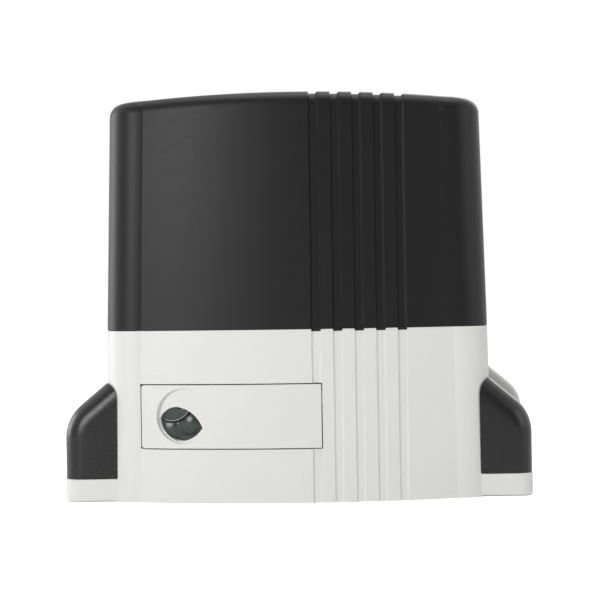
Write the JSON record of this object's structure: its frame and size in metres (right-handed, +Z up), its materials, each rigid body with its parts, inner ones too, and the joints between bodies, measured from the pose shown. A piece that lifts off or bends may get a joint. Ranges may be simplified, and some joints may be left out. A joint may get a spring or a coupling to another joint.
{
  "type": "sliding gate motor",
  "caption": "Gear motor for a sliding gate: dark lift-off cover on a pale housing with capped feet, a locked release door in front and a drive pinion behind.",
  "frame": {"origin": "on the underside, midway between the two foundation holes", "axes": "+X to the right along the gate, +Y to the rear towards the gate and its rack, +Z up; the front with the release door faces -Y"},
  "size_m": [0.33, 0.235, 0.285],
  "materials": {
    "dark_plastic": "fine textured dark grey moulding",
    "pale_paint": "satin pale grey paint on casting",
    "lock_plastic": "glossy dark grey-green",
    "door_plastic": "satin pale grey moulding",
    "steel": "machined",
    "zinc": "zinc plated",
    "cast_alloy": "as cast",
    "bronze": "machined bronze",
    "rubber": "matte",
    "copper": "enamelled wire",
    "lamination": "varnished laminations",
    "motor_black": "semi-gloss black",
    "board_green": "solder mask",
    "board_black": "moulded",
    "board_orange": "moulded",
    "brass": "machined",
    "graphite": "carbon",
    "ferrite": "ceramic magnet"
  },
  "bodies": {
    "base": {"board_carrier": "board_black", "board_fuse": "board_black", "board_relays": "board_black", "board_terminals": "board_orange", "brushes": "graphite", "button_switches": "board_black", "cable_grommet": "rubber", "case_screws": "zinc", "control_board": "board_green", "cover_gasket": "rubber", "cover_screws": "zinc", "door_pin": "steel", "front_bearing": "steel", "gear_case": "cast_alloy", "gear_case_cover": "cast_alloy", "levelling_screws": "zinc", "lid_screws": "zinc", "limit_microswitches": "board_black", "limit_pin": "steel", "limit_switch_box": "dark_plastic", "lower_housing": "pale_paint", "lower_motor_bearing": "steel", "motor_bolts": "zinc", "motor_can": "motor_black", "motor_end_cap": "board_black", "motor_magnets": "ferrite", "rear_bearing": "steel", "shaft_seal": "rubber", "small_screws": "zinc", "transformer_coil": "copper", "transformer_core": "lamination", "transformer_feet": "zinc", "upper_motor_bearing": "steel", "worm_end_bearing": "steel"},
    "upper_cover": {"upper_cover": "dark_plastic"},
    "left_foot_cover": {"left_foot_cover": "dark_plastic"},
    "right_foot_cover": {"right_foot_cover": "dark_plastic"},
    "release_door": {"release_door": "door_plastic", "lock_barrel": "brass"},
    "lock_cover": {"lock_cover": "lock_plastic"},
    "lock_plug": {"lock_plug": "brass", "lock_tongue": "zinc"},
    "release_slider": {"release_slider": "zinc"},
    "clutch": {"clutch_ring": "steel", "clutch_pin": "steel"},
    "output": {"worm_wheel": "bronze", "output_shaft": "steel", "drive_pinion": "zinc", "pinion_key": "steel", "pinion_washer": "zinc", "pinion_screw": "zinc"},
    "rotor": {"motor_shaft": "steel", "worm": "steel", "armature": "lamination", "armature_winding": "copper", "commutator": "copper"},
    "limit_lever": {"limit_lever": "zinc"},
    "open_button": {"open_button": "board_orange"},
    "stop_button": {"stop_button": "board_orange"},
    "close_button": {"close_button": "board_orange"}
  },
  "joints": [
    {"name": "cover_lift", "type": "slide", "parent": "base", "child": "upper_cover", "axis": [0, 0, 1], "range_m": [0, 0.18]},
    {"name": "left_foot_cover_pull", "type": "slide", "parent": "base", "child": "left_foot_cover", "axis": [0, -1, 0], "range_m": [0, 0.09]},
    {"name": "right_foot_cover_pull", "type": "slide", "parent": "base", "child": "right_foot_cover", "axis": [0, -1, 0], "range_m": [0, 0.09]},
    {"name": "release_door_hinge", "type": "hinge", "parent": "base", "child": "release_door", "pos_m": [0.0087, -0.05735, 0.06], "axis": [0, 0, 1], "range_deg": [0, 90]},
    {"name": "lock_cover_turn", "type": "hinge", "parent": "release_door", "child": "lock_cover", "pos_m": [-0.07838, -0.04988, 0.0605], "axis": [-0.3247, -0.9458, 0], "range_deg": [0, 130]},
    {"name": "lock_plug_turn", "type": "hinge", "parent": "release_door", "child": "lock_plug", "pos_m": [-0.08191, -0.04338, 0.05272], "axis": [-0.3247, -0.9458, 0], "range_deg": [0, 90]},
    {"name": "release_slide", "type": "slide", "parent": "base", "child": "release_slider", "axis": [0, 1, 0], "range_m": [0, 0.00567]},
    {"name": "clutch_slide", "type": "slide", "parent": "output", "child": "clutch", "axis": [0, 1, 0], "range_m": [0, 0.00567]},
    {"name": "output_spin", "type": "hinge", "parent": "base", "child": "output", "pos_m": [-0.01, 0, 0.072], "axis": [0, 1, 0], "continuous": true},
    {"name": "rotor_spin", "type": "hinge", "parent": "base", "child": "rotor", "pos_m": [0.0475, 0.058, 0.15], "axis": [0, 0, 1], "continuous": true},
    {"name": "limit_lever_swing", "type": "hinge", "parent": "base", "child": "limit_lever", "pos_m": [-0.01, 0.115, 0.14], "axis": [0, 0, 1], "range_deg": [-30, 30], "stiffness_Nm_per_rad": 0.3},
    {"name": "open_button_press", "type": "slide", "parent": "base", "child": "open_button", "axis": [0, 1, 0], "range_m": [0, 0.0006], "stiffness_N_per_m": 300},
    {"name": "stop_button_press", "type": "slide", "parent": "base", "child": "stop_button", "axis": [0, 1, 0], "range_m": [0, 0.0006], "stiffness_N_per_m": 300},
    {"name": "close_button_press", "type": "slide", "parent": "base", "child": "close_button", "axis": [0, 1, 0], "range_m": [0, 0.0006], "stiffness_N_per_m": 300}
  ],
  "couplings": [
    {"joint": "release_slide", "follows": "release_door_hinge", "m_per_rad": 0.0035465},
    {"joint": "clutch_slide", "follows": "release_door_hinge", "m_per_rad": 0.0035465},
    {"joint": "output_spin", "follows": "rotor_spin", "ratio": 0.027778}
  ]
}
